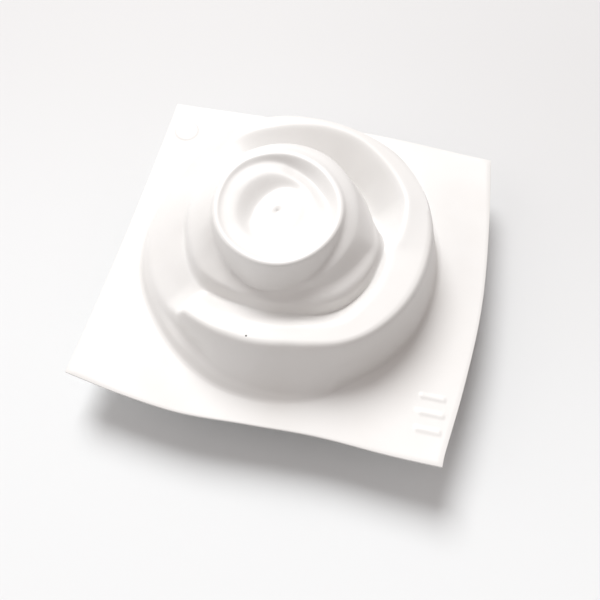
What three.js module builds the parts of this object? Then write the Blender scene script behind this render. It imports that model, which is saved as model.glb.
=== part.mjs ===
// Sheet mould for casting a rose: one thin plastic sheet, heat-formed over a rose-shaped former.
// The rose stands up from the sheet and is hollow underneath, where resin or soap is poured.
//
// The outer skin is a height over the plan, drawn as lines that run round the bud axis: the foot or
// crest of each petal. A section from the axis to the sheet joins these lines, and its corners are
// rounded. The inner skin lies one sheet thickness inside the outer one.
// The sheet is modelled as its formed regions, each a closed solid that ends a small gap from the next.
// Millimetres, +Z up. The origin is under the middle of the sheet, on its underside.
import * as THREE from 'three';

// Driving sizes
const ROSE_RADIUS = 44;
const ROSE_HEIGHT = 25.6;
const SHEET_THICKNESS = 0.8;
const RIM_WIDTH = 1.4;
const MARGIN_LEFT = 3.8;
const MARGIN_RIGHT = 9.7;
const MARGIN_FAR = 3.4;
const MARGIN_NEAR = 3.3;
const CORNER_LIFT = 0.8;
const REGION_GAP = 0.3;
const CORNER_CLEARANCE = 0.1;

// The petal lines are drawn for a rose of this radius and height, then scaled to the driving sizes.
const DRAWN_RADIUS = 44;
const DRAWN_HEIGHT = 25.6;

// Petal lines from the bud axis outwards. Each row is [azimuth in degrees, radius, height above the
// sheet]. Azimuth 0 points along +X and turns towards +Y.
const rimOuterLine = [
  [0, 16.9, 25.6], [40, 17.1, 25.6], [70, 17.8, 25.6], [100, 18.6, 25.6], [130, 18.8, 25.6],
  [150, 18.1, 25.6], [175, 17.1, 25.6], [200, 16.7, 25.6], [240, 16.6, 25.6], [290, 17.2, 25.6],
  [330, 16.8, 25.6],
];
const dimpleEdgeLine = [[0, 1.6, 24.45]];
const domeShoulderLine = [
  [0, 4.6, 24.8], [90, 3.8, 24.3], [150, 3.2, 23.9], [220, 3.8, 24.4], [300, 4.6, 24.8],
];
const spiralFootLine = [
  [0, 8.4, 24.4], [40, 8.6, 24], [78, 8.5, 23.1], [97, 8, 22.8], [123, 6.8, 22.5], [160, 5.9, 22.4],
  [198, 6.3, 22.6], [220, 7.8, 23.4], [250, 9.2, 24.3], [289, 9.6, 24.5], [322, 8.7, 24.5],
];
const spiralEdgeLine = [
  [0, 9.6, 24.6], [40, 10, 24.2], [78, 10.5, 24.3], [114, 11.6, 24.6], [136, 11.4, 24.8],
  [184, 10.4, 24.9], [239, 10.3, 24.8], [289, 10.8, 24.8], [322, 9.8, 24.7],
];
const faceFootLine = [
  [0, 14, 24.6], [20, 13.4, 23.7], [44, 12.9, 23], [64, 13.4, 22.8], [85, 14.4, 23.2], [101, 15.4, 24],
  [120, 16, 24.7], [140, 16, 25], [170, 15.6, 25.3], [200, 14.8, 25.3], [240, 14.4, 25.3],
  [290, 15, 25.1], [330, 14.5, 25],
];
const rimFootLine = [
  [0, 17.6, 24.2], [20, 17.7, 24.7], [40, 17.9, 24.9], [70, 18.8, 25], [100, 19.8, 25],
  [130, 19.8, 24.8], [150, 19, 24.4], [175, 17.9, 24], [195, 17.5, 23.5], [210, 17.5, 21.6],
  [220, 17.6, 19.9], [235, 17.8, 18], [250, 18.2, 16.2], [270, 18.9, 15.8], [290, 18.9, 16.8],
  [305, 18.6, 18.4], [320, 18.2, 20.4], [335, 17.8, 22.2], [350, 17.6, 23.6],
];
const innerCrestLine = [
  [0, 20.8, 22.6], [20, 21, 23.3], [45, 21.5, 24], [70, 22.3, 24.4], [100, 22.4, 24.6],
  [125, 21.6, 24.4], [150, 20.6, 23.4], [175, 19.8, 22.8], [200, 19.4, 21.8], [212, 19.4, 20.4],
  [225, 19.4, 18.6], [240, 19.2, 17], [255, 19, 15.9], [275, 19.4, 16.1], [290, 19.5, 17],
  [305, 19.6, 18.4], [320, 20, 19.9], [335, 20.4, 21.2], [350, 20.7, 22.2],
];
const innerFootLine = [
  [0, 25.6, 17.8], [12, 25, 17.8], [28, 24, 18], [41, 24, 17.8], [60, 23.7, 17.6], [90, 23.4, 17.4],
  [115, 23, 18.4], [135, 22.8, 21], [150, 22.6, 21.8], [175, 22, 21], [200, 21.8, 19.9],
  [212, 21.8, 18.9], [225, 21.6, 17.6], [240, 20.8, 16.5], [255, 20.2, 15.7], [275, 19.9, 15.6],
  [300, 20, 16.3], [320, 22, 16.7], [337, 23.2, 17.2], [350, 24.5, 17.6],
];
const middleCrestLine = [
  [0, 27.5, 16.8], [10, 26.6, 17.6], [18, 25.3, 18.3], [28, 24.8, 18.6], [41, 24.9, 18.2],
  [55, 24.6, 17.2], [75, 24.4, 16.4], [100, 24.2, 16.4], [125, 24.2, 17.6], [140, 24.6, 19.2],
  [150, 24.9, 19.4], [175, 24.6, 18.6], [197, 24.5, 17.8], [212, 24.3, 17], [225, 24.1, 16.2],
  [240, 23, 15.6], [250, 22.2, 15.2], [264, 21.7, 14.8], [280, 22.2, 14.6], [297, 23.4, 14.7],
  [314, 25.7, 15], [326, 26.9, 15.3], [338, 27.3, 15.8], [350, 27.3, 16.4],
];
const valleyInnerLine = [
  [0, 27.9, 15.8], [8, 27.2, 14.6], [16, 26, 12.4], [29, 25.6, 10], [45, 25.7, 9.8], [60, 25.8, 11],
  [78, 25.8, 13.4], [95, 25.7, 14.9], [115, 25.6, 15.4], [130, 25.6, 16.4], [141, 26.4, 17.6],
  [160, 27.2, 16.4], [181, 26.4, 14.8], [197, 25.5, 13.2], [212, 25.6, 12.6], [225, 25.4, 12.2],
  [240, 24, 12], [250, 23, 11.9], [264, 22.5, 11.8], [285, 23.2, 11.7], [298, 24.1, 11.4],
  [314, 25.9, 10.9], [328, 27, 11.4], [340, 27.9, 12.6], [350, 28.1, 14.2],
];
const valleyOuterLine = [
  [0, 28.6, 15.8], [8, 28, 14.6], [16, 26.9, 12.5], [29, 26.6, 10.2], [45, 26.7, 10.1],
  [60, 26.9, 11.2], [78, 27, 13.5], [95, 27, 15], [115, 27, 15.5], [130, 27.4, 16.4], [141, 29, 16.6],
  [160, 29.6, 14.6], [181, 27.6, 14.2], [197, 26.6, 13], [212, 26.6, 12.2], [225, 26.6, 11.6],
  [232, 26, 11.8], [246, 24.2, 12], [264, 23.4, 11.9], [285, 24.2, 11.8], [298, 25.2, 11.5],
  [314, 27, 11.1], [328, 27.9, 11.7], [340, 28.5, 12.9], [350, 28.7, 14.4],
];
const ridgeInnerLine = [
  [0, 30.8, 16.2], [6, 31.7, 16.6], [16, 33.3, 17.2], [29, 35, 17.8], [50, 35.2, 18.1],
  [66, 35.9, 18.3], [80, 35.4, 18.4], [95, 34, 18.4], [110, 33.2, 18.1], [126, 33.2, 17.3],
  [134, 33.3, 16.2], [141, 33.4, 14.8], [160, 33.4, 11.8], [181, 32.8, 10.6], [203, 31.8, 9.4],
  [222, 30.8, 8.8], [230, 30.3, 10], [238, 28.9, 14.2], [252, 28.6, 14.8], [264, 27.9, 15],
  [276, 27.7, 15], [295, 28.3, 15], [309, 30.5, 15.1], [317, 31.3, 15.2], [326, 30.9, 15.4],
  [337, 30.4, 15.6], [350, 30, 15.9],
];
const ridgeOuterLine = [
  [0, 41, 16.2], [20, 41.6, 16.8], [45, 41, 17.4], [73, 39, 17.8], [94, 38.2, 18], [120, 38.4, 16.8],
  [134, 38.6, 13.6], [146, 38.5, 10.4], [160, 38, 7.6], [181, 37.6, 6.6], [203, 36.8, 6.2],
  [222, 35.8, 6.2], [230, 35.2, 7.8], [238, 34.6, 13.9], [246, 34.3, 14.6], [263, 33.6, 15],
  [285, 33.7, 15], [297, 35, 15], [310, 37.6, 15], [322, 39.2, 15.2], [340, 40.4, 15.6],
];
const ridgeFootLine = [
  [0, 42, 7.8], [20, 42.4, 8], [45, 41.7, 8.6], [73, 40.2, 8.8], [94, 39.6, 8.8], [120, 39.6, 8.6],
  [146, 39.7, 6], [160, 39.4, 4.6], [181, 39, 4.4], [203, 38.1, 4.2], [222, 36.9, 4.4],
  [230, 36.2, 4.6], [238, 35.8, 4.8], [246, 36.3, 4.4], [259, 38.4, 3.6], [270, 39.6, 2.8],
  [287, 41.2, 1.2], [300, 41.8, 1.6], [307, 40.2, 5.6], [322, 40.8, 7.2], [340, 41.5, 7.6],
];
const ledgeEdgeLine = [
  [0, 42.8, 6.4], [20, 43.1, 6.6], [45, 42.2, 6.8], [94, 40.2, 6], [120, 40.1, 6], [146, 40.2, 4.4],
  [181, 39.7, 3.2], [203, 39.2, 2.8], [222, 38.3, 2.8], [246, 38.9, 2.6], [259, 40.5, 1.8],
  [270, 41.3, 1.4], [287, 42.3, 0.7], [300, 42.6, 0.8], [307, 41.2, 4.4], [322, 41.7, 5.8],
  [340, 42.4, 6.2],
];
const baseFootLine = [
  [0, 43.6, 0], [20, 43.9, 0], [45, 43, 0], [80, 41.3, 0], [120, 41, 0], [160, 41.1, 0], [195, 40.6, 0],
  [222, 39.8, 0], [245, 40.9, 0], [265, 42.3, 0], [285, 43, 0], [299, 43, 0], [307, 42.1, 0],
  [324, 42.6, 0], [340, 43.2, 0],
];

// The trimmed edges of the sheet, anticlockwise. Each row is [share of the way along the edge,
// outward bulge], and a corner takes the first and last bulges of the two edges that meet there.
const nearEdgeBulge = [[0, 0], [0.16, 2.3], [0.32, 3.6], [0.5, 2.6], [0.68, 1.6], [0.88, 2.2], [1, 2.3]];
const rightEdgeBulge = [[0, 0], [0.2, 2.3], [0.45, 3.9], [0.77, 2.5], [1, 0.2]];
const farEdgeBulge = [[0, 0], [0.28, 2.6], [0.6, 3.0], [0.85, 2.1], [1, 1.2]];
const leftEdgeBulge = [[0, 0], [0.58, -0.5], [1, 0]];

// How the mesh is cut up
const SECTORS = [
  { name: 'right', from: 305, to: 390, columns: 18 },
  { name: 'back', from: 30, to: 148, columns: 22 },
  { name: 'left', from: 148, to: 228, columns: 15 },
  { name: 'front', from: 228, to: 305, columns: 18 },
];
const EDGE_COLUMNS = 16;
const FLANGE_ROWS = [0, 0.45, 0.7, 1];
const BASE_SKIRT = 1;
const FLAT_RADIUS = 52;
const CORNER_REACH = 18;

const halfGap = REGION_GAP / 2;
const planScale = ROSE_RADIUS / DRAWN_RADIUS;
const heightScale = ROSE_HEIGHT / DRAWN_HEIGHT;

// A smooth closed curve through the rows of one line, without overshoot between rows.
function closedCurve(rows, column, scale) {
  const count = rows.length;
  if (count === 1) return () => rows[0][column] * scale;
  const at = (i) => rows[((i % count) + count) % count][0] + 360 * Math.floor(i / count);
  const value = (i) => rows[((i % count) + count) % count][column] * scale;
  const slope = (i) => (value(i + 1) - value(i)) / (at(i + 1) - at(i));
  const tangent = (i) => {
    const before = slope(i - 1);
    const after = slope(i);
    return before * after <= 0 ? 0 : (2 * before * after) / (before + after);
  };
  return (azimuth) => {
    const turn = ((azimuth % 360) + 360) % 360;
    let i = count - 1;
    while (i > 0 && rows[i][0] > turn) i -= 1;
    const span = at(i + 1) - at(i);
    const s = (turn - at(i)) / span;
    const ease = s * s * (3 - 2 * s);
    const start = s * (1 - s) * (1 - s) * span * tangent(i);
    const end = s * s * (s - 1) * span * tangent(i + 1);
    return value(i) * (1 - ease) + value(i + 1) * ease + start + end;
  };
}

function line(rows, rounding, steps) {
  return {
    radius: closedCurve(rows, 1, planScale),
    height: closedCurve(rows, 2, heightScale),
    rounding,
    steps,
  };
}

const rimOuter = line(rimOuterLine, 0.4, 1);
const rimInner = { ...rimOuter, radius: (azimuth) => rimOuter.radius(azimuth) - RIM_WIDTH, steps: 2 };
const middleCorner = line(middleCrestLine, 0.8, 1);
const ridgeCorner = line(ridgeInnerLine, 1.2, 2);

// The section's corners in order, with how far each is rounded and the mesh steps up to it.
const section = [
  line([[0, 0, 24]], 0, 0),
  line(dimpleEdgeLine, 0.5, 1),
  line(domeShoulderLine, 1.2, 1),
  line(spiralFootLine, 0.8, 2),
  line(spiralEdgeLine, 0.7, 1),
  line(faceFootLine, 0.6, 1),
  rimInner,
  rimOuter,
  line(rimFootLine, 0.4, 2),
  line(innerCrestLine, 0.7, 1),
  line(innerFootLine, 0.7, 2),
  middleCorner,
  line(valleyInnerLine, 0.8, 2),
  line(valleyOuterLine, 0.9, 1),
  ridgeCorner,
  line(ridgeOuterLine, 1.1, 2),
  line(ridgeFootLine, 0.8, 2),
  line(ledgeEdgeLine, 0.6, 1),
  line(baseFootLine, 0.8, 2),
];
const RIM_INNER = section.indexOf(rimInner);
const MIDDLE_CREST = section.indexOf(middleCorner);
const RIDGE_INNER = section.indexOf(ridgeCorner);

// A ramp that starts at 0 and is rounded over the given half width.
function roundedRamp(x, halfWidth) {
  if (x <= -halfWidth) return 0;
  if (x >= halfWidth) return x;
  return ((x + halfWidth) * (x + halfWidth)) / (4 * halfWidth);
}

// The corners of the section at one azimuth, pushed apart where they come close.
function sectionCorners(azimuth) {
  const leastStep = halfGap + CORNER_CLEARANCE;
  let last = -leastStep;
  return section.map((item) => {
    last = Math.max(item.radius(azimuth), last + leastStep);
    return { radius: last, height: item.height(azimuth), rounding: item.rounding };
  });
}

// Height of the outer skin above the sheet's top face.
function outerHeight(corners, radius) {
  let height = corners[0].height;
  let slopeBefore = 0;
  for (let i = 0; i < corners.length; i += 1) {
    const here = corners[i];
    const next = corners[i + 1];
    const slope = next ? (next.height - here.height) / (next.radius - here.radius) : 0;
    height += (slope - slopeBefore) * roundedRamp(radius - here.radius, here.rounding);
    slopeBefore = slope;
  }
  return height;
}

// The inner skin at one radius: as far below the outer skin as a ball one sheet thickness in radius.
function innerHeight(corners, radius) {
  const probes = 8;
  let lowest = Infinity;
  for (let i = -probes; i <= probes; i += 1) {
    const across = (SHEET_THICKNESS * i) / probes;
    const reach = Math.sqrt(SHEET_THICKNESS * SHEET_THICKNESS - across * across);
    lowest = Math.min(lowest, outerHeight(corners, Math.abs(radius + across)) - reach);
  }
  return lowest;
}

// Outer and inner points of the skin down one column, at the given radii.
function columnPoints(azimuth, radii, sideways) {
  const corners = sectionCorners(azimuth);
  const turn = THREE.MathUtils.degToRad(azimuth);
  const place = (radius, height) => new THREE.Vector3(
    radius * Math.cos(turn) - sideways * Math.sin(turn),
    radius * Math.sin(turn) + sideways * Math.cos(turn),
    height + SHEET_THICKNESS,
  );
  const probe = 0.05;
  const leastStep = 0.04;
  let last = -Infinity;
  return radii.map((radius) => {
    const rise = outerHeight(corners, radius + probe) - outerHeight(corners, Math.max(radius - probe, 0));
    const slope = radius < probe ? 0 : rise / (2 * probe);
    const inward = (SHEET_THICKNESS * slope) / Math.hypot(1, slope);
    const innerRadius = radius === 0 ? 0 : Math.max(radius + inward, last + leastStep);
    last = innerRadius;
    return {
      outer: place(radius, outerHeight(corners, radius)),
      inner: place(innerRadius, innerHeight(corners, innerRadius)),
    };
  });
}

// Radii of the mesh rows at one azimuth: the start, the steps up to each corner after the first one
// named and up to the last, and the end. Every azimuth gets the same number of rows.
function rowRadii(azimuth, first, last, startRadius, endRadius) {
  const corners = sectionCorners(azimuth);
  const radii = [startRadius(corners)];
  for (let i = first + 1; i <= last; i += 1) {
    const from = radii[radii.length - 1];
    const to = corners[i].radius;
    for (let step = 1; step <= section[i].steps; step += 1) {
      radii.push(from + ((to - from) * step) / section[i].steps);
    }
  }
  radii.push(endRadius(corners));
  return radii;
}

// A closed mesh from a grid of outer and inner points. A closed grid joins its last column to its
// first, and a pole grid has all its first points at one place.
function skinGeometry(columns, { closed = false, pole = false }) {
  const rows = columns[0].length;
  const positions = [];
  const index = [];
  const addVertex = (point) => positions.push(point.x, point.y, point.z) / 3 - 1;
  const poleVertices = pole ? [addVertex(columns[0][0].outer), addVertex(columns[0][0].inner)] : null;
  const vertices = columns.map((column) => column.map((point, row) => (
    pole && row === 0 ? poleVertices : [addVertex(point.outer), addVertex(point.inner)]
  )));
  const addTriangle = (a, b, c) => {
    if (a !== b && b !== c && c !== a) index.push(a, b, c);
  };
  const addQuad = (a, b, c, d) => {
    addTriangle(a, b, c);
    addTriangle(a, c, d);
  };
  const columnPairs = closed ? columns.length : columns.length - 1;
  for (let i = 0; i < columnPairs; i += 1) {
    const here = vertices[i];
    const next = vertices[(i + 1) % columns.length];
    for (let row = 0; row < rows - 1; row += 1) {
      addQuad(here[row][0], here[row + 1][0], next[row + 1][0], next[row][0]);
      addQuad(here[row][1], next[row][1], next[row + 1][1], here[row + 1][1]);
    }
    addQuad(here[rows - 1][0], here[rows - 1][1], next[rows - 1][1], next[rows - 1][0]);
    if (!pole) addQuad(here[0][0], next[0][0], next[0][1], here[0][1]);
  }
  if (!closed) {
    for (let row = 0; row < rows - 1; row += 1) {
      const first = vertices[0];
      const last = vertices[vertices.length - 1];
      addQuad(first[row][0], first[row][1], first[row + 1][1], first[row + 1][0]);
      addQuad(last[row][0], last[row + 1][0], last[row + 1][1], last[row][1]);
    }
  }
  const geometry = new THREE.BufferGeometry();
  geometry.setAttribute('position', new THREE.Float32BufferAttribute(positions, 3));
  geometry.setIndex(index);
  geometry.computeVertexNormals();
  return geometry;
}

const rimMiddle = (corners) => (corners[RIM_INNER].radius + corners[RIM_INNER + 1].radius) / 2;
const middleCrest = (corners) => corners[MIDDLE_CREST].radius;
const ridgeMiddle = (corners) => (corners[RIDGE_INNER].radius + corners[RIDGE_INNER + 1].radius) / 2;
const skirt = (corners) => corners[corners.length - 1].radius + BASE_SKIRT;
const before = (place) => (corners) => place(corners) - halfGap;
const after = (place) => (corners) => place(corners) + halfGap;

const plastic = new THREE.MeshStandardMaterial({ color: 0xf4f4f2, roughness: 0.38, metalness: 0 });

function solid(name, geometry) {
  const mesh = new THREE.Mesh(geometry, plastic.clone());
  mesh.name = name;
  return mesh;
}

// One sector of a ring of the rose, with its two sides moved in by half the gap.
function sectorSkin(sector, first, last, startRadius, endRadius) {
  const columns = [];
  for (let i = 0; i <= sector.columns; i += 1) {
    const azimuth = sector.from + ((sector.to - sector.from) * i) / sector.columns;
    const sideways = i === 0 ? halfGap : i === sector.columns ? -halfGap : 0;
    const radii = rowRadii(azimuth, first, last, startRadius, endRadius);
    columns.push(columnPoints(azimuth, radii, sideways));
  }
  return skinGeometry(columns, {});
}

function budFace() {
  const columnCount = 48;
  const columns = [];
  for (let i = 0; i < columnCount; i += 1) {
    const azimuth = (360 * i) / columnCount;
    const radii = rowRadii(azimuth, 0, RIM_INNER, () => 0, before(rimMiddle));
    columns.push(columnPoints(azimuth, radii, 0));
  }
  return solid('bud_face', skinGeometry(columns, { closed: true, pole: true }));
}

// A smooth open curve through the bulges of one trimmed edge.
function edgeBulge(rows, along) {
  const curve = new THREE.SplineCurve(rows.map(([share, bulge]) => new THREE.Vector2(share, bulge)));
  const halvings = 30;
  let low = 0;
  let high = 1;
  for (let i = 0; i < halvings; i += 1) {
    const middle = (low + high) / 2;
    if (curve.getPoint(middle).x < along) low = middle;
    else high = middle;
  }
  return curve.getPoint(low).y;
}

// The trimmed outline of the sheet about the bud axis, anticlockwise from the near left corner.
function sheetOutline() {
  const left = -(ROSE_RADIUS + MARGIN_LEFT);
  const right = ROSE_RADIUS + MARGIN_RIGHT;
  const near = -(ROSE_RADIUS + MARGIN_NEAR);
  const far = ROSE_RADIUS + MARGIN_FAR;
  const edges = [
    { from: [left, near], to: [right, near], rows: nearEdgeBulge },
    { from: [right, near], to: [right, far], rows: rightEdgeBulge },
    { from: [right, far], to: [left, far], rows: farEdgeBulge },
    { from: [left, far], to: [left, near], rows: leftEdgeBulge },
  ];
  const points = [];
  edges.forEach((edge, number) => {
    const from = new THREE.Vector2(...edge.from);
    const to = new THREE.Vector2(...edge.to);
    const direction = to.clone().sub(from).normalize();
    const outward = new THREE.Vector2(direction.y, -direction.x);
    const previous = edges[(number + edges.length - 1) % edges.length];
    const cornerBulge = previous.rows[previous.rows.length - 1][1];
    for (let i = 0; i < EDGE_COLUMNS; i += 1) {
      const along = i / EDGE_COLUMNS;
      const point = from.clone().lerp(to, along).addScaledVector(outward, edgeBulge(edge.rows, along));
      if (i === 0) point.addScaledVector(direction, -cornerBulge);
      points.push(point);
    }
  });
  return points;
}

function flange(outline) {
  const columns = outline.map((edgePoint) => {
    const azimuth = THREE.MathUtils.radToDeg(Math.atan2(edgePoint.y, edgePoint.x));
    const innerRadius = after(skirt)(sectionCorners(azimuth));
    const innerPoint = edgePoint.clone().setLength(innerRadius);
    return FLANGE_ROWS.map((share) => {
      const point = innerPoint.clone().lerp(edgePoint, share);
      const curl = Math.max(0, point.length() - FLAT_RADIUS) / CORNER_REACH;
      const lift = CORNER_LIFT * curl * curl;
      return {
        outer: new THREE.Vector3(point.x, point.y, SHEET_THICKNESS + lift),
        inner: new THREE.Vector3(point.x, point.y, lift),
      };
    });
  });
  return solid('flange', skinGeometry(columns, { closed: true }));
}

const outline = sheetOutline();
const sheetBox = new THREE.Box2().setFromPoints(outline);
const sheetCentre = sheetBox.getCenter(new THREE.Vector2());

const mould = new THREE.Group();
mould.position.set(-sheetCentre.x, -sheetCentre.y, 0);
mould.add(flange(outline));
mould.add(budFace());
for (const sector of SECTORS) {
  const last = section.length - 1;
  mould.add(solid(
    `inner_petal_${sector.name}`,
    sectorSkin(sector, RIM_INNER, MIDDLE_CREST - 1, after(rimMiddle), before(middleCrest)),
  ));
  mould.add(solid(
    `petal_valley_${sector.name}`,
    sectorSkin(sector, MIDDLE_CREST, RIDGE_INNER, after(middleCrest), before(ridgeMiddle)),
  ));
  mould.add(solid(
    `outer_petal_${sector.name}`,
    sectorSkin(sector, RIDGE_INNER, last, after(ridgeMiddle), before(skirt)),
  ));
}

export default mould;
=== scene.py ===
# %% [markdown]
# # A sheet mould for casting a rose
#
# The real thing is one thin sheet of white plastic. It was heated until it sagged, then sucked down
# over a carved rose, so the rose stands up from the sheet and is hollow underneath. Turned over, the
# hollow is filled with resin, soap or wax.
#
# This lesson models it the way the sheet itself was shaped: as one skin without a seam. A small disc
# in the middle of the bud is extruded ring by ring, out over the petals, across the flat margin to
# the trimmed edge, and back underneath to the middle.

# %% Load the fixed frame
import math

import bmesh
import bpy
import numpy as np
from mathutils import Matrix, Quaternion, Vector


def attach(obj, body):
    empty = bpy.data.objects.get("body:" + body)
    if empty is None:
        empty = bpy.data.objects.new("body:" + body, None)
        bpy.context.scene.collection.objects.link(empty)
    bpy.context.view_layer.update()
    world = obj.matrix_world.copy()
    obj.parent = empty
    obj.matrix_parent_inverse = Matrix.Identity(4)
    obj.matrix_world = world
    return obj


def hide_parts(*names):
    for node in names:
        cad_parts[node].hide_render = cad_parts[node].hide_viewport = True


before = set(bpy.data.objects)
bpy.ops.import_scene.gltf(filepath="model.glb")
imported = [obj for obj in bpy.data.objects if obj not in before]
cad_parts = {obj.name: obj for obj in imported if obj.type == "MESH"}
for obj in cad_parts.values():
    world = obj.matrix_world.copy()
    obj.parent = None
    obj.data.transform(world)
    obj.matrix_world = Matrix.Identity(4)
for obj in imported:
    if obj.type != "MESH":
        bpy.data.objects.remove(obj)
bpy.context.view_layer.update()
print("frame nodes:", len(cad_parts))

# %% [markdown]
# ## Sizes
#
# The mould's own sizes are in millimetres here, as a mould maker gives them, and every mesh is in
# metres. The frame's origin is under the middle of the sheet, so the bud's axis is a little to the
# left of it. It is found from the trimmed outline further down.

# %% Sizes of the sheet and the rose
MM = 0.001
ROSE_RADIUS = 44.0
SHEET_THICKNESS = 0.8
RIM_WIDTH = 1.4
MARGIN_LEFT = 3.8
MARGIN_RIGHT = 9.7
MARGIN_FAR = 3.4
MARGIN_NEAR = 3.3
CORNER_LIFT = 0.8
CORNER_REACH = 18.0
FLAT_RADIUS = 52.0
BASE_SKIRT = 1.0

# %% [markdown]
# ## The petal lines
#
# A rose is hard to draw as one surface, but easy as lines: the foot or the crest of each petal runs
# round the bud like a spiral path on a hill. Each line below is a short list of rows, one row where
# the line turns or climbs: azimuth in degrees, distance from the bud's axis, height above the sheet.
# A petal ends where its crest drops quickly between two rows.

# %% Petal lines from the bud outwards
RIM_OUTER = [
    (0, 16.9, 25.6), (40, 17.1, 25.6), (70, 17.8, 25.6), (100, 18.6, 25.6), (130, 18.8, 25.6),
    (150, 18.1, 25.6), (175, 17.1, 25.6), (200, 16.7, 25.6), (240, 16.6, 25.6), (290, 17.2, 25.6),
    (330, 16.8, 25.6),
]
DOME_SHOULDER = [
    (0, 4.6, 24.8), (90, 3.8, 24.3), (150, 3.2, 23.9), (220, 3.8, 24.4), (300, 4.6, 24.8),
]
SPIRAL_FOOT = [
    (0, 8.4, 24.4), (40, 8.6, 24.0), (78, 8.5, 23.1), (97, 8.0, 22.8), (123, 6.8, 22.5),
    (160, 5.9, 22.4), (198, 6.3, 22.6), (220, 7.8, 23.4), (250, 9.2, 24.3), (289, 9.6, 24.5),
    (322, 8.7, 24.5),
]
SPIRAL_EDGE = [
    (0, 9.6, 24.6), (40, 10.0, 24.2), (78, 10.5, 24.3), (114, 11.6, 24.6), (136, 11.4, 24.8),
    (184, 10.4, 24.9), (239, 10.3, 24.8), (289, 10.8, 24.8), (322, 9.8, 24.7),
]
FACE_FOOT = [
    (0, 14, 24.6), (20, 13.4, 23.7), (44, 12.9, 23), (64, 13.4, 22.8), (85, 14.4, 23.2),
    (101, 15.4, 24), (120, 16, 24.7), (140, 16, 25), (170, 15.6, 25.3), (200, 14.8, 25.3),
    (240, 14.4, 25.3), (290, 15, 25.1), (330, 14.5, 25),
]
RIM_FOOT = [
    (0, 17.6, 24.2), (20, 17.7, 24.7), (40, 17.9, 24.9), (70, 18.8, 25), (100, 19.8, 25),
    (130, 19.8, 24.8), (150, 19, 24.4), (175, 17.9, 24), (195, 17.5, 23.5), (210, 17.5, 21.6),
    (220, 17.6, 19.9), (235, 17.8, 18), (250, 18.2, 16.2), (270, 18.9, 15.8), (290, 18.9, 16.8),
    (305, 18.6, 18.4), (320, 18.2, 20.4), (335, 17.8, 22.2), (350, 17.6, 23.6),
]
INNER_CREST = [
    (0, 20.8, 22.6), (20, 21, 23.3), (45, 21.5, 24), (70, 22.3, 24.4), (100, 22.4, 24.6),
    (125, 21.6, 24.4), (150, 20.6, 23.4), (175, 19.8, 22.8), (200, 19.4, 21.8), (212, 19.4, 20.4),
    (225, 19.4, 18.6), (240, 19.2, 17), (255, 19, 15.9), (275, 19.4, 16.1), (290, 19.5, 17),
    (305, 19.6, 18.4), (320, 20, 19.9), (335, 20.4, 21.2), (350, 20.7, 22.2),
]
INNER_FOOT = [
    (0, 25.6, 17.8), (12, 25, 17.8), (28, 24, 18), (41, 24, 17.8), (60, 23.7, 17.6),
    (90, 23.4, 17.4), (115, 23, 18.4), (135, 22.8, 21), (150, 22.6, 21.8), (175, 22, 21),
    (200, 21.8, 19.9), (212, 21.8, 18.9), (225, 21.6, 17.6), (240, 20.8, 16.5), (255, 20.2, 15.7),
    (275, 19.9, 15.6), (300, 20, 16.3), (320, 22, 16.7), (337, 23.2, 17.2), (350, 24.5, 17.6),
]
MIDDLE_CREST = [
    (0, 27.5, 16.8), (10, 26.6, 17.6), (18, 25.3, 18.3), (28, 24.8, 18.6), (41, 24.9, 18.2),
    (55, 24.6, 17.2), (75, 24.4, 16.4), (100, 24.2, 16.4), (125, 24.2, 17.6), (140, 24.6, 19.2),
    (150, 24.9, 19.4), (175, 24.6, 18.6), (197, 24.5, 17.8), (212, 24.3, 17), (225, 24.1, 16.2),
    (240, 23, 15.6), (250, 22.2, 15.2), (264, 21.7, 14.8), (280, 22.2, 14.6), (297, 23.4, 14.7),
    (314, 25.7, 15), (326, 26.9, 15.3), (338, 27.3, 15.8), (350, 27.3, 16.4),
]
VALLEY_INNER = [
    (0, 27.9, 15.8), (8, 27.2, 14.6), (16, 26, 12.4), (29, 25.6, 10), (45, 25.7, 9.8),
    (60, 25.8, 11), (78, 25.8, 13.4), (95, 25.7, 14.9), (115, 25.6, 15.4), (130, 25.6, 16.4),
    (141, 26.4, 17.6), (160, 27.2, 16.4), (181, 26.4, 14.8), (197, 25.5, 13.2), (212, 25.6, 12.6),
    (225, 25.4, 12.2), (240, 24, 12), (250, 23, 11.9), (264, 22.5, 11.8), (285, 23.2, 11.7),
    (298, 24.1, 11.4), (314, 25.9, 10.9), (328, 27, 11.4), (340, 27.9, 12.6), (350, 28.1, 14.2),
]
VALLEY_OUTER = [
    (0, 28.6, 15.8), (8, 28, 14.6), (16, 26.9, 12.5), (29, 26.6, 10.2), (45, 26.7, 10.1),
    (60, 26.9, 11.2), (78, 27, 13.5), (95, 27, 15), (115, 27, 15.5), (130, 27.4, 16.4),
    (141, 29, 16.6), (160, 29.6, 14.6), (181, 27.6, 14.2), (197, 26.6, 13), (212, 26.6, 12.2),
    (225, 26.6, 11.6), (232, 26, 11.8), (246, 24.2, 12), (264, 23.4, 11.9), (285, 24.2, 11.8),
    (298, 25.2, 11.5), (314, 27, 11.1), (328, 27.9, 11.7), (340, 28.5, 12.9), (350, 28.7, 14.4),
]
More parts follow.
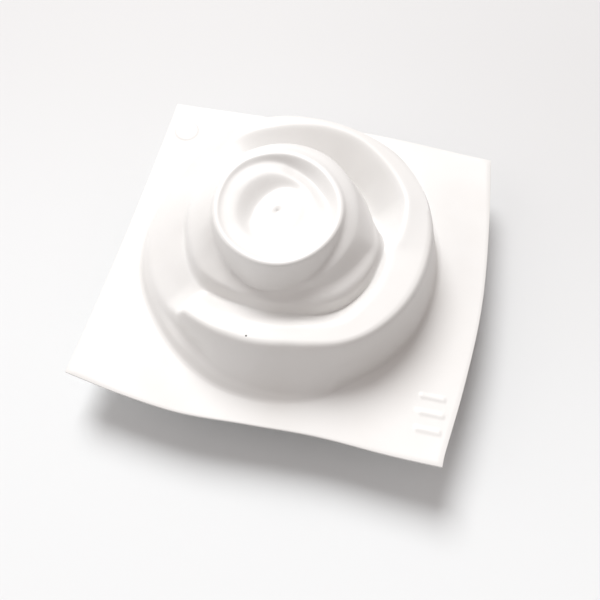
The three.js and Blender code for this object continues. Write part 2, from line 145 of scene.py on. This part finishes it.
RIDGE_INNER = [
    (0, 30.8, 16.2), (6, 31.7, 16.6), (16, 33.3, 17.2), (29, 35, 17.8), (50, 35.2, 18.1),
    (66, 35.9, 18.3), (80, 35.4, 18.4), (95, 34, 18.4), (110, 33.2, 18.1), (126, 33.2, 17.3),
    (134, 33.3, 16.2), (141, 33.4, 14.8), (160, 33.4, 11.8), (181, 32.8, 10.6), (203, 31.8, 9.4),
    (222, 30.8, 8.8), (230, 30.3, 10), (238, 28.9, 14.2), (252, 28.6, 14.8), (264, 27.9, 15),
    (276, 27.7, 15), (295, 28.3, 15), (309, 30.5, 15.1), (317, 31.3, 15.2), (326, 30.9, 15.4),
    (337, 30.4, 15.6), (350, 30, 15.9),
]
RIDGE_OUTER = [
    (0, 41, 16.2), (20, 41.6, 16.8), (45, 41, 17.4), (73, 39, 17.8), (94, 38.2, 18),
    (120, 38.4, 16.8), (134, 38.6, 13.6), (146, 38.5, 10.4), (160, 38, 7.6), (181, 37.6, 6.6),
    (203, 36.8, 6.2), (222, 35.8, 6.2), (230, 35.2, 7.8), (238, 34.6, 13.9), (246, 34.3, 14.6),
    (263, 33.6, 15), (285, 33.7, 15), (297, 35, 15), (310, 37.6, 15), (322, 39.2, 15.2),
    (340, 40.4, 15.6),
]
RIDGE_FOOT = [
    (0, 42, 7.8), (20, 42.4, 8), (45, 41.7, 8.6), (73, 40.2, 8.8), (94, 39.6, 8.8),
    (120, 39.6, 8.6), (146, 39.7, 6), (160, 39.4, 4.6), (181, 39, 4.4), (203, 38.1, 4.2),
    (222, 36.9, 4.4), (230, 36.2, 4.6), (238, 35.8, 4.8), (246, 36.3, 4.4), (259, 38.4, 3.6),
    (270, 39.6, 2.8), (287, 41.2, 1.2), (300, 41.8, 1.6), (307, 40.2, 5.6), (322, 40.8, 7.2),
    (340, 41.5, 7.6),
]
LEDGE_EDGE = [
    (0, 42.8, 6.4), (20, 43.1, 6.6), (45, 42.2, 6.8), (94, 40.2, 6), (120, 40.1, 6),
    (146, 40.2, 4.4), (181, 39.7, 3.2), (203, 39.2, 2.8), (222, 38.3, 2.8), (246, 38.9, 2.6),
    (259, 40.5, 1.8), (270, 41.3, 1.4), (287, 42.3, 0.7), (300, 42.6, 0.8), (307, 41.2, 4.4),
    (322, 41.7, 5.8), (340, 42.4, 6.2),
]
BASE_FOOT = [
    (0, 43.6, 0), (20, 43.9, 0), (45, 43.0, 0), (80, 41.3, 0), (120, 41.0, 0), (160, 41.1, 0),
    (195, 40.6, 0), (222, 39.8, 0), (245, 40.9, 0), (265, 42.3, 0), (285, 43.0, 0), (299, 43.0, 0),
    (307, 42.1, 0), (324, 42.6, 0), (340, 43.2, 0),
]

# %% [markdown]
# ## A smooth closed curve through the rows
#
# Each line has to be smooth all the way round and must not swing past its rows, or a petal's flat
# crest would ripple. A cubic with its slope set from the two neighbouring slopes, and set to zero at
# every high or low point, does both.

# %% Smooth curve through the rows of one line
def closed_curve(rows, column, azimuths):
    """Values of one column of a line at the given azimuths in degrees."""
    if len(rows) == 1:
        return np.full(len(azimuths), float(rows[0][column]))
    angle = np.array([row[0] for row in rows], float)
    value = np.array([row[column] for row in rows], float)
    span = np.diff(np.append(angle, angle[0] + 360))
    slope = (np.roll(value, -1) - value) / span
    slope_before = np.roll(slope, 1)
    same_way = slope * slope_before > 0
    total = np.where(same_way, slope + slope_before, 1)
    tangent = np.where(same_way, 2 * slope * slope_before / total, 0)
    turn = np.mod(azimuths, 360)
    i = np.searchsorted(angle, turn, side="right") - 1
    after = (i + 1) % len(rows)
    s = (turn - angle[i]) / span[i]
    ease = s * s * (3 - 2 * s)
    leave = s * (1 - s) ** 2 * span[i] * tangent[i]
    arrive = s * s * (s - 1) * span[i] * tangent[after]
    return value[i] * (1 - ease) + value[after] * ease + leave + arrive


# %% [markdown]
# ## A section of the rose
#
# Cut the rose from the bud's axis to its foot and the cut is a line of straight runs with rounded
# corners, because hot plastic never fills a sharp corner. Each corner is one petal line. The number
# after a line says how far the plastic rounds there, in millimetres, and the last one how many rings
# of mesh lie in the run up to it.

# %% The section's corners in order
SECTION = [
    ([(0, 0, 24.0)], 0.7, 0),
    ([(0, 1.6, 24.45)], 0.9, 4),
    (DOME_SHOULDER, 1.6, 5),
    (SPIRAL_FOOT, 1.4, 6),
    (SPIRAL_EDGE, 1.2, 6),
    (FACE_FOOT, 0.7, 6),
    ("rim inner", 0.45, 6),
    (RIM_OUTER, 0.45, 4),
    (RIM_FOOT, 0.45, 8),
    (INNER_CREST, 0.7, 5),
    (INNER_FOOT, 0.7, 6),
    (MIDDLE_CREST, 0.8, 6),
    (VALLEY_INNER, 0.8, 9),
    (VALLEY_OUTER, 0.9, 6),
    (RIDGE_INNER, 1.2, 11),
    (RIDGE_OUTER, 1.1, 12),
    (RIDGE_FOOT, 0.8, 9),
    (LEDGE_EDGE, 0.6, 4),
    (BASE_FOOT, 0.8, 7),
]
CLOSEST_CORNERS = 0.25


def section_corners(azimuths):
    """Radius and height of every corner of the section, one row a corner."""
    radii = []
    heights = []
    for line, _, _ in SECTION:
        is_rim = line == "rim inner"
        radius = closed_curve(RIM_OUTER if is_rim else line, 1, azimuths) - RIM_WIDTH * is_rim
        height = closed_curve(RIM_OUTER if is_rim else line, 2, azimuths)
        if radii:
            radius = np.maximum(radius, radii[-1] + CLOSEST_CORNERS)
        radii.append(radius)
        heights.append(height)
    return np.array(radii), np.array(heights)


def rounded_ramp(x, half_width):
    """0 before the corner, x after it, and a parabola in between."""
    near = np.clip(x, -half_width, half_width) + half_width
    return np.where(x > half_width, x, near * near / (4 * half_width))


def outer_height(corners, radius):
    """Height of the outer skin above the sheet's top face."""
    radii, heights = corners
    height = heights[0].copy()
    slope_before = 0
    for i, (_, rounding, _) in enumerate(SECTION):
        slope = 0
        if i + 1 < len(SECTION):
            slope = (heights[i + 1] - heights[i]) / (radii[i + 1] - radii[i])
        height += (slope - slope_before) * rounded_ramp(radius - radii[i], rounding)
        slope_before = slope
    return height


# %% [markdown]
# ## The inner skin
#
# The hollow's wall is one sheet thickness inside the outer wall everywhere. Moving each point
# straight down would make the steep walls paper thin, and moving it along its normal would make the
# skin cross itself inside tight crests. So a ball of the sheet's thickness is rolled under the outer
# skin instead, and the inner skin is the lowest it reaches.

# %% Height of the inner skin
BALL_PROBES = 17


def inner_height(corners, radius):
    """Height of the inner skin at one radius in each column."""
    lowest = np.full(len(radius), np.inf)
    for probe in np.linspace(-SHEET_THICKNESS, SHEET_THICKNESS, BALL_PROBES):
        reach = math.sqrt(max(SHEET_THICKNESS**2 - probe**2, 0))
        lowest = np.minimum(lowest, outer_height(corners, np.abs(radius + probe)) - reach)
    return lowest


# %% [markdown]
# ## The trimmed edge
#
# The sheet was cut by hand after forming, so no edge is quite straight: each bulges out by up to
# four millimetres. Every edge is a list of a few bulges along it, joined by a smooth curve. The
# columns of the mesh are spread evenly by angle between the corners, so a column runs into each one.

# %% Outline of the sheet about the bud's axis
EDGE_COLUMNS = 80
EDGE_SAMPLES = 400
NEAR_EDGE = [(0, 0), (0.16, 2.3), (0.32, 3.6), (0.5, 2.6), (0.68, 1.6), (0.88, 2.2), (1, 2.3)]
RIGHT_EDGE = [(0, 0), (0.2, 2.3), (0.45, 3.9), (0.77, 2.5), (1, 0.2)]
FAR_EDGE = [(0, 0), (0.28, 2.6), (0.6, 3.0), (0.85, 2.1), (1, 1.2)]
LEFT_EDGE = [(0, 0), (0.58, -0.5), (1, 0)]


def edge_bulge(rows, along):
    """Outward bulge at a share of the way along an edge: a smooth curve through its rows."""
    share = np.array([row[0] for row in rows], float)
    bulge = np.array([row[1] for row in rows], float)
    tangent = np.gradient(bulge, share)
    i = np.clip(np.searchsorted(share, along, side="right") - 1, 0, len(rows) - 2)
    span = share[i + 1] - share[i]
    s = (along - share[i]) / span
    ease = s * s * (3 - 2 * s)
    leave = s * (1 - s) ** 2 * span * tangent[i]
    arrive = s * s * (s - 1) * span * tangent[i + 1]
    return bulge[i] * (1 - ease) + bulge[i + 1] * ease + leave + arrive


def trimmed_edge(start, end, rows, corner_bulges):
    """Fine points along one trimmed edge, both corners included."""
    direction = (end - start) / np.linalg.norm(end - start)
    outward = np.array([direction[1], -direction[0]])
    along = np.linspace(0, 1, EDGE_SAMPLES)
    edge = start + np.outer(along, end - start) + np.outer(edge_bulge(rows, along), outward)
    edge[0] -= corner_bulges[0] * direction
    edge[-1] += corner_bulges[1] * direction
    return edge


def sheet_outline():
    """Points of the trimmed outline, anticlockwise, spread evenly by angle within each edge."""
    left = -(ROSE_RADIUS + MARGIN_LEFT)
    right = ROSE_RADIUS + MARGIN_RIGHT
    near = -(ROSE_RADIUS + MARGIN_NEAR)
    far = ROSE_RADIUS + MARGIN_FAR
    corners = np.array([(left, near), (right, near), (right, far), (left, far)])
    edges = [NEAR_EDGE, RIGHT_EDGE, FAR_EDGE, LEFT_EDGE]
    points = []
    for number, rows in enumerate(edges):
        following = (number + 1) % len(edges)
        bulges = (edges[number - 1][-1][1], edges[following][0][1])
        edge = trimmed_edge(corners[number], corners[following], rows, bulges)
        turn = np.unwrap(np.arctan2(edge[:, 1], edge[:, 0]))
        even = np.linspace(turn[0], turn[-1], EDGE_COLUMNS, endpoint=False)
        points.append(np.stack([np.interp(even, turn, edge[:, i]) for i in (0, 1)], axis=1))
    return np.concatenate(points)


outline = sheet_outline()
azimuths = np.degrees(np.arctan2(outline[:, 1], outline[:, 0]))
sheet_middle = (outline.min(axis=0) + outline.max(axis=0)) / 2
bud_axis = Vector((-sheet_middle[0] * MM, -sheet_middle[1] * MM, 0))
print("columns:", len(outline), " bud axis at", tuple(round(v, 4) for v in bud_axis))

# %% [markdown]
# ## Every ring of the skin
#
# A ring is one row of points right round the bud. Rings crowd together near the corners of the
# section, where the surface bends, and spread out on the long runs. The outer rings go from the bud
# to the foot of the rose, the margin rings from there to the trimmed edge, and the inner rings come
# back underneath in the opposite order.

# %% Points of every ring, from the bud out and back
SKIRT_RINGS = 2
MARGIN_RINGS = 14
SMALLEST_STEP = 0.03
SLOPE_PROBE = 0.03


def ring_radii(corners, sparing):
    """Radii of the rose's rings at each column, crowded towards the section's corners."""
    radii = corners[0]
    rings = []
    for i in range(1, len(SECTION)):
        count = math.ceil(SECTION[i][2] / sparing)
        for step in range(1, count + 1):
            share = (1 - math.cos(math.pi * step / count)) / 2
            rings.append(radii[i - 1] + (radii[i] - radii[i - 1]) * share)
    for step in range(1, SKIRT_RINGS + 1):
        rings.append(radii[-1] + BASE_SKIRT * step / SKIRT_RINGS)
    return rings


def margin_shares():
    """Shares of the way from the rose's skirt to the trimmed edge."""
    return [step / MARGIN_RINGS for step in range(1, MARGIN_RINGS + 1)]


def placed(radius, height):
    """Points in metres, in the frame's place, of one ring given in millimetres."""
    turn = np.radians(azimuths)
    x = bud_axis.x + radius * np.cos(turn) * MM
    y = bud_axis.y + radius * np.sin(turn) * MM
    return np.stack([x, y, (height + SHEET_THICKNESS) * MM], axis=1)


def margin_ring(start_radius, share, drop):
    """One ring of the flat margin, a share of the way to the trimmed edge."""
    edge_radius = np.hypot(outline[:, 0], outline[:, 1])
    radius = start_radius + (edge_radius - start_radius) * share
    curl = np.maximum(radius - FLAT_RADIUS, 0) / CORNER_REACH
    return placed(radius, CORNER_LIFT * curl * curl - drop)


def outer_skin(corners):
    """Rings of the outer skin, from the bud to the trimmed edge."""
    radii = ring_radii(corners, 1)
    rose = [placed(radius, outer_height(corners, radius)) for radius in radii]
    return rose + [margin_ring(radii[-1], share, 0) for share in margin_shares()]


def inner_skin(corners):
    """Rings of the inner skin, from the bud to the trimmed edge, with half as many on the rose."""
    radii = ring_radii(corners, 2)
    rings = []
    last = np.zeros(len(azimuths))
    for radius in radii:
        rise = outer_height(corners, radius + SLOPE_PROBE) - outer_height(corners, radius - SLOPE_PROBE)
        slope = rise / (2 * SLOPE_PROBE)
        last = np.maximum(radius + SHEET_THICKNESS * slope / np.hypot(1, slope), last + SMALLEST_STEP)
        rings.append(placed(last, inner_height(corners, last)))
    return rings + [margin_ring(radii[-1], share, SHEET_THICKNESS) for share in margin_shares()]


section = section_corners(azimuths)
outer_rings = outer_skin(section)
inner_rings = inner_skin(section)[::-1]
print("rings:", len(outer_rings), "outside and", len(inner_rings), "underneath")

# %% [markdown]
# ## Extruding the skin
#
# The skin starts as a small circle primitive in the dimple of the bud. Its rim is extruded once for
# every ring, and the new points are put in their places. Extruding keeps the mesh in clean rings of
# quads that follow the petals. A sculpted or remeshed skin would look as soft, but its faces would
# cut across the crests.

# %% Extrude the formed sheet ring by ring
DIMPLE_DEPTH = 0.25
NO_COLUMN = -1


def select_nothing():
    """Leaves no object selected, so an operator acts only on the piece being made."""
    bpy.ops.object.select_all(action="DESELECT")


def first_disc(name, ring):
    """A filled circle primitive whose points are moved to the first ring."""
    select_nothing()
    bpy.ops.mesh.primitive_circle_add(vertices=len(ring), radius=MM, fill_type="TRIFAN")
    piece = bpy.context.object
    piece.name = name
    piece.data.name = name
    bpy.ops.object.mode_set(mode="EDIT")
    mesh = bmesh.from_edit_mesh(piece.data)
    column = mesh.verts.layers.int.new("column")
    middle = max(mesh.verts, key=lambda vertex: len(vertex.link_edges))
    rim = sorted((v for v in mesh.verts if v != middle), key=lambda v: math.atan2(v.co.y, v.co.x))
    order = np.argsort(np.arctan2(ring[:, 1] - bud_axis.y, ring[:, 0] - bud_axis.x))
    for vertex, number in zip(rim, order):
        vertex[column] = int(number)
        vertex.co = ring[number]
    middle.co = (bud_axis.x, bud_axis.y, ring[:, 2].mean() - DIMPLE_DEPTH * MM)
    middle[column] = NO_COLUMN
    select_ring(mesh, rim)
    bmesh.update_edit_mesh(piece.data)
    return piece


def select_ring(mesh, ring_vertices):
    """Selects one ring of vertices and the edges along it, and nothing else."""
    wanted = set(ring_vertices)
    for face in mesh.faces:
        face.select = False
    for edge in mesh.edges:
        edge.select = edge.verts[0] in wanted and edge.verts[1] in wanted
    for vertex in mesh.verts:
        vertex.select = vertex in wanted


def extrude_to(piece, ring):
    """Extrudes the selected ring and puts the new points on the given ring."""
    bpy.ops.mesh.extrude_edges_move()
    mesh = bmesh.from_edit_mesh(piece.data)
    column = mesh.verts.layers.int["column"]
    for vertex in mesh.verts:
        if vertex.select:
            vertex.co = ring[vertex[column]]
    bmesh.update_edit_mesh(piece.data)


bpy.context.tool_settings.mesh_select_mode = (False, True, False)
formed_sheet = first_disc("formed_sheet", outer_rings[0])
for ring in outer_rings[1:] + inner_rings:
    extrude_to(formed_sheet, ring)
bpy.ops.mesh.fill()
bpy.ops.mesh.poke()
bpy.ops.mesh.select_all(action="SELECT")
bpy.ops.mesh.normals_make_consistent(inside=False)
print("formed sheet:", len(outer_rings) + len(inner_rings), "rings of", len(outline), "points")

# %% [markdown]
# ## Raised marks on the margin
#
# Sheets like this carry small marks that were cut into the former, so they stand up from the margin
# by a fifth of a millimetre. Here they are a plain round pad and three plain bars. The margin's
# faces are far too big to carry them, so only the faces near a mark are subdivided, and then the
# points inside the mark are lifted on both skins. Bump in the material would be cheaper, but it
# would leave the real mesh flat.

# %% Press the marks into the margin
MARK_HEIGHT = 0.2
MARK_SLOPE = 0.55
FACE_REACH = 1.2
MARK_CUTS = 3
PAD_CENTRE = (-41.5, 38.9)
PAD_RADIUS = 3.4
BAR_CENTRES = [(48.6, -31.9), (48.9, -36.4), (48.7, -41.0)]
BAR_HALF_LENGTH = 3.0
BAR_HALF_WIDTH = 0.35


def pad_distance(x, y):
    """Distance in millimetres from a point to the round pad, 0 inside it."""
    return max(math.hypot(x - PAD_CENTRE[0], y - PAD_CENTRE[1]) - PAD_RADIUS, 0)


def bar_distance(x, y):
    """Distance in millimetres from a point to the nearest bar, 0 inside it."""
    distances = []
    for centre in BAR_CENTRES:
        past_end = max(abs(x - centre[0]) - BAR_HALF_LENGTH, 0)
        past_side = max(abs(y - centre[1]) - BAR_HALF_WIDTH, 0)
        distances.append(math.hypot(past_end, past_side))
    return min(distances)


def press_mark(piece, distance):
    """Subdivides the margin near a mark and lifts the points that lie in it."""
    mesh = bmesh.from_edit_mesh(piece.data)
    bpy.ops.mesh.select_all(action="DESELECT")
    for face in mesh.faces:
        middle = (face.calc_center_median() - bud_axis) / MM
        if distance(middle.x, middle.y) < FACE_REACH:
            face.select_set(True)
    bmesh.update_edit_mesh(piece.data)
    bpy.ops.mesh.subdivide(number_cuts=MARK_CUTS)
    mesh = bmesh.from_edit_mesh(piece.data)
    for vertex in mesh.verts:
        spot = (vertex.co - bud_axis) / MM
        fall = max(1 - distance(spot.x, spot.y) / MARK_SLOPE, 0)
        vertex.co.z += MARK_HEIGHT * MM * fall * fall * (3 - 2 * fall)
    bmesh.update_edit_mesh(piece.data)


press_mark(formed_sheet, pad_distance)
press_mark(formed_sheet, bar_distance)
print("marks: a pad and", len(BAR_CENTRES), "bars")

# %% [markdown]
# ## The cut edge
#
# Scissors and a rub of sandpaper leave a fine rounded arris round the sheet, which catches the light
# as a thin line. The edges between a flat skin and the cut wall are found by the slopes of their two
# faces, and bevelled by a tenth of a millimetre.

# %% Break the cut edge and shade the sheet
CUT_BEVEL = 0.1
BEVEL_SEGMENTS = 2
CUT_ZONE = ROSE_RADIUS + 2
WALL_TILT = 0.4
SKIN_TILT = 0.8
LEAST_EDGE = 0.002
SMOOTH_ANGLE = math.radians(50)


def bevel_cut_edge(piece):
    """Selects the edges between a flat skin and the cut wall by their normals, and bevels them."""
    bpy.ops.mesh.select_all(action="DESELECT")
    mesh = bmesh.from_edit_mesh(piece.data)
    mesh.normal_update()
    for edge in mesh.edges:
        out = (edge.verts[0].co - bud_axis).xy.length / MM
        tilts = sorted(abs(face.normal.z) for face in edge.link_faces)
        if out > CUT_ZONE and tilts[0] < WALL_TILT and tilts[1] > SKIN_TILT:
            edge.select_set(True)
    bmesh.update_edit_mesh(piece.data)
    bpy.ops.mesh.bevel(offset=CUT_BEVEL * MM, segments=BEVEL_SEGMENTS, affect="EDGES")
    bpy.ops.mesh.select_all(action="SELECT")
    bpy.ops.mesh.dissolve_degenerate(threshold=LEAST_EDGE * MM)


bevel_cut_edge(formed_sheet)
bpy.ops.object.mode_set(mode="OBJECT")
bpy.ops.object.shade_smooth_by_angle(angle=SMOOTH_ANGLE)
print("finished sheet:", len(formed_sheet.data.polygons), "faces")

# %% [markdown]
# ## White plastic
#
# The sheet is opaque white plastic with a satin face. It has three things to show: a very fine grain
# from the extruder's rollers, broad soft patches where it was handled, and one speck of dirt. The
# grain and the patches are each a node group with its own inputs, so another material can use them.

# %% Node groups for grain and soft patches
def new_group(name, inputs, outputs):
    """A shader node group with float inputs (name, value) and float outputs."""
    group = bpy.data.node_groups.new(name, "ShaderNodeTree")
    for label, value in inputs:
        socket = group.interface.new_socket(label, in_out="INPUT", socket_type="NodeSocketFloat")
        socket.default_value = value
    for label in outputs:
        group.interface.new_socket(label, in_out="OUTPUT", socket_type="NodeSocketFloat")
    return group


def add_node(tree, kind, **settings):
    """A node whose settings are attributes, such as a Math node's operation."""
    node = tree.nodes.new(kind)
    for label, value in settings.items():
        setattr(node, label, value)
    return node


def grain_group():
    """Fine moulded grain."""
    group = new_group("plastic_grain", [("Grains per metre", 2600)], ["Height"])
    source = add_node(group, "NodeGroupInput")
    place = add_node(group, "ShaderNodeTexCoord")
    fine = add_node(group, "ShaderNodeTexNoise")
    fine.inputs["Detail"].default_value = 2
    ready = add_node(group, "NodeGroupOutput")
    group.links.new(place.outputs["Object"], fine.inputs["Vector"])
    group.links.new(source.outputs["Grains per metre"], fine.inputs["Scale"])
    group.links.new(fine.outputs["Fac"], ready.inputs["Height"])
    return group


def patch_group():
    """Broad soft patches from 0 to 1, with a sharper or softer edge."""
    group = new_group("soft_patches", [("Patches per metre", 40), ("Softness", 0.2)], ["Mask"])
    source = add_node(group, "NodeGroupInput")
    place = add_node(group, "ShaderNodeTexCoord")
    noise = add_node(group, "ShaderNodeTexNoise")
    noise.inputs["Detail"].default_value = 3
    low = add_node(group, "ShaderNodeMath", operation="SUBTRACT")
    low.inputs[0].default_value = 0.5
    high = add_node(group, "ShaderNodeMath", operation="ADD")
    high.inputs[0].default_value = 0.5
    spread = add_node(group, "ShaderNodeMapRange", interpolation_type="SMOOTHSTEP")
    ready = add_node(group, "NodeGroupOutput")
    group.links.new(place.outputs["Object"], noise.inputs["Vector"])
    group.links.new(source.outputs["Patches per metre"], noise.inputs["Scale"])
    group.links.new(source.outputs["Softness"], low.inputs[1])
    group.links.new(source.outputs["Softness"], high.inputs[1])
    group.links.new(noise.outputs["Fac"], spread.inputs["Value"])
    group.links.new(low.outputs[0], spread.inputs["From Min"])
    group.links.new(high.outputs[0], spread.inputs["From Max"])
    group.links.new(spread.outputs["Result"], ready.inputs["Mask"])
    return group


plastic_grain = grain_group()
soft_patches = patch_group()
print("node groups:", plastic_grain.name, soft_patches.name)

# %% Satin white plastic
PLASTIC_WHITE = (0.8, 0.795, 0.785, 1)
PLASTIC_HANDLED = (0.775, 0.765, 0.75, 1)
DIRT = (0.03, 0.03, 0.03, 1)
DIRT_SPOT = (-0.3, -32.1, 15.8)
DIRT_RADIUS = 0.32
DIRT_CORE = 0.6
PLASTIC_IOR = 1.5
ROUGHNESS = (0.36, 0.46)
GRAIN_STRENGTH = 0.12
GRAIN_DEPTH = 0.02


def use_group(tree, group, **values):
    """Places a node group with its own input values."""
    node = add_node(tree, "ShaderNodeGroup", node_tree=group)
    for label, value in values.items():
        node.inputs[label.replace("_", " ")].default_value = value
    return node


def new_material(name):
    """A material with a Principled shader, and that shader."""
    material = bpy.data.materials.new(name)
    material.use_nodes = True
    shader = material.node_tree.nodes["Principled BSDF"]
    return material, material.node_tree, shader


def dirt_mask(tree):
    """1 inside a small speck on the front petal, 0 elsewhere."""
    place = add_node(tree, "ShaderNodeTexCoord")
    distance = add_node(tree, "ShaderNodeVectorMath", operation="DISTANCE")
    distance.inputs[1].default_value = Vector(DIRT_SPOT) * MM + bud_axis
    edge = add_node(tree, "ShaderNodeMapRange", interpolation_type="SMOOTHSTEP")
    edge.inputs["From Min"].default_value = DIRT_RADIUS * MM
    edge.inputs["From Max"].default_value = DIRT_RADIUS * MM * DIRT_CORE
    tree.links.new(place.outputs["Object"], distance.inputs[0])
    tree.links.new(distance.outputs["Value"], edge.inputs["Value"])
    return edge.outputs["Result"]


def satin_plastic():
    """The sheet's own material."""
    material, tree, shader = new_material("satin_white_plastic")
    shader.inputs["IOR"].default_value = PLASTIC_IOR
    grain = use_group(tree, plastic_grain)
    handled = use_group(tree, soft_patches, Patches_per_metre=45, Softness=0.22)
    tint = add_node(tree, "ShaderNodeMix", data_type="RGBA")
    tint.inputs["A"].default_value = PLASTIC_WHITE
    tint.inputs["B"].default_value = PLASTIC_HANDLED
    speck = add_node(tree, "ShaderNodeMix", data_type="RGBA")
    speck.inputs["B"].default_value = DIRT
    gloss = add_node(tree, "ShaderNodeMapRange")
    gloss.inputs["To Min"].default_value = ROUGHNESS[0]
    gloss.inputs["To Max"].default_value = ROUGHNESS[1]
    bump = add_node(tree, "ShaderNodeBump")
    bump.inputs["Strength"].default_value = GRAIN_STRENGTH
    bump.inputs["Distance"].default_value = GRAIN_DEPTH * MM
    tree.links.new(handled.outputs["Mask"], tint.inputs["Factor"])
    tree.links.new(tint.outputs["Result"], speck.inputs["A"])
    tree.links.new(dirt_mask(tree), speck.inputs["Factor"])
    tree.links.new(speck.outputs["Result"], shader.inputs["Base Color"])
    tree.links.new(handled.outputs["Mask"], gloss.inputs["Value"])
    tree.links.new(gloss.outputs["Result"], shader.inputs["Roughness"])
    tree.links.new(grain.outputs["Height"], bump.inputs["Height"])
    tree.links.new(bump.outputs["Normal"], shader.inputs["Normal"])
    return material


formed_sheet.data.materials.clear()
formed_sheet.data.materials.append(satin_plastic())

# %% [markdown]
# ## Table, riser and light
#
# The mould is shown as if on a white table top. It doesn't touch the table: it sits like a hat on a
# round riser under its hollow, so its edge throws the broad soft shadow that shows how thin it is. The
# riser is as tall as the lowest part of the hollow above it. Table and riser are staging, and aren't
# part of the object.

# %% Table and riser
TABLE_GAP = 13.0
TABLE_SIZE = 1.6
RISER_RADIUS = 27.0
RISER_SIDES = 64
# The table's colour fades from the near tone to a darker far tone: painted shade, where the light falls
# off towards the back.
PAPER_NEAR = (0.775, 0.795, 0.805, 1)
PAPER_FAR_PAINTED_SHADE = (0.68, 0.685, 0.69, 1)
PAPER_ROUGHNESS = 0.6
PAINTED_SHADE_FADE = (-80.0, 120.0)


def pale_paper():
    """Plain pale table top, with painted shade that darkens it towards the back."""
    material, tree, shader = new_material("pale_table")
    shader.inputs["Roughness"].default_value = PAPER_ROUGHNESS
    place = add_node(tree, "ShaderNodeTexCoord")
    axes = add_node(tree, "ShaderNodeSeparateXYZ")
    depth = add_node(tree, "ShaderNodeMapRange", interpolation_type="SMOOTHSTEP")
    depth.inputs["From Min"].default_value = PAINTED_SHADE_FADE[0] * MM
    depth.inputs["From Max"].default_value = PAINTED_SHADE_FADE[1] * MM
    tint = add_node(tree, "ShaderNodeMix", data_type="RGBA")
    tint.inputs["A"].default_value = PAPER_NEAR
    tint.inputs["B"].default_value = PAPER_FAR_PAINTED_SHADE
    tree.links.new(place.outputs["Object"], axes.inputs["Vector"])
    tree.links.new(axes.outputs["Y"], depth.inputs["Value"])
    tree.links.new(depth.outputs["Result"], tint.inputs["Factor"])
    tree.links.new(tint.outputs["Result"], shader.inputs["Base Color"])
    return material


paper = pale_paper()
select_nothing()
bpy.ops.mesh.primitive_plane_add(size=TABLE_SIZE, location=(0, 0, -TABLE_GAP * MM))
table_top = bpy.context.object
table_top.name = "table_top"
bpy.ops.object.transform_apply(location=True, rotation=True, scale=True)
table_top.data.materials.append(paper)
over_riser = [
    vertex.co.z for vertex in formed_sheet.data.vertices
    if (vertex.co - bud_axis).xy.length < RISER_RADIUS * MM
]
riser_top = min(over_riser)
riser_height = riser_top + TABLE_GAP * MM
riser_middle = bud_axis + Vector((0, 0, riser_top - riser_height / 2))
bpy.ops.mesh.primitive_cylinder_add(
    vertices=RISER_SIDES, radius=RISER_RADIUS * MM, depth=riser_height, location=riser_middle
)
riser = bpy.context.object
riser.name = "riser"
print("riser top:", round(riser_top / MM, 2), "mm")
bpy.ops.object.transform_apply(location=True, rotation=True, scale=True)
riser.data.materials.append(paper)

# %% Soft studio light
KEY_DIRECTION = Vector((-6, 11, 15)).normalized()
KEY_ANGLE = math.radians(30)
KEY_STRENGTH = 2.82
FILL_DIRECTION = Vector((-15, -5, 8)).normalized()
FILL_ANGLE = math.radians(60)
FILL_STRENGTH = 0.58
SKY_COLOUR = (1.0, 0.92, 0.89, 1)
SKY_STRENGTH = 0.44


def add_sun(name, direction, angle, strength):
    """A wide, distant light that shines from the given direction."""
    data = bpy.data.lights.new(name, "SUN")
    data.energy = strength
    data.angle = angle
    light = bpy.data.objects.new(name, data)
    light.rotation_euler = direction.to_track_quat("Z", "Y").to_euler()
    bpy.context.scene.collection.objects.link(light)


add_sun("key_light", KEY_DIRECTION, KEY_ANGLE, KEY_STRENGTH)
add_sun("fill_light", FILL_DIRECTION, FILL_ANGLE, FILL_STRENGTH)
sky = bpy.data.worlds.new("sky")
sky.use_nodes = True
sky.node_tree.nodes["Background"].inputs["Color"].default_value = SKY_COLOUR
sky.node_tree.nodes["Background"].inputs["Strength"].default_value = SKY_STRENGTH
bpy.context.scene.world = sky
bpy.context.scene.view_settings.view_transform = "Standard"

# %% [markdown]
# ## Camera
#
# The camera looks down over the near edge from slightly to the right, close enough for the near edge
# to look a little larger than the far one. Its place and target are measured from the bud's axis.

# %% Camera
CAMERA_PLACE = Vector((34.82, -99.65, 178.76))
CAMERA_TARGET = Vector((9.41, -15.87, 8.8))
CAMERA_ROLL = math.radians(-3.44)
CAMERA_LENS = 43.0

camera_data = bpy.data.cameras.new("camera")
camera_data.lens = CAMERA_LENS
camera_data.clip_start = 0.01
camera = bpy.data.objects.new("camera", camera_data)
camera.location = CAMERA_PLACE * MM + bud_axis
facing = (CAMERA_TARGET - CAMERA_PLACE).to_track_quat("-Z", "Y")
camera.rotation_euler = (facing @ Quaternion((0, 0, 1), CAMERA_ROLL)).to_euler()
bpy.context.scene.collection.objects.link(camera)
bpy.context.scene.camera = camera

# %% [markdown]
# ## Tie the sheet to the frame
#
# The one sheet stands for all of the frame's regions, and rides on the only body there is.

# %% Ride, replace and finish
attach(formed_sheet, "root")
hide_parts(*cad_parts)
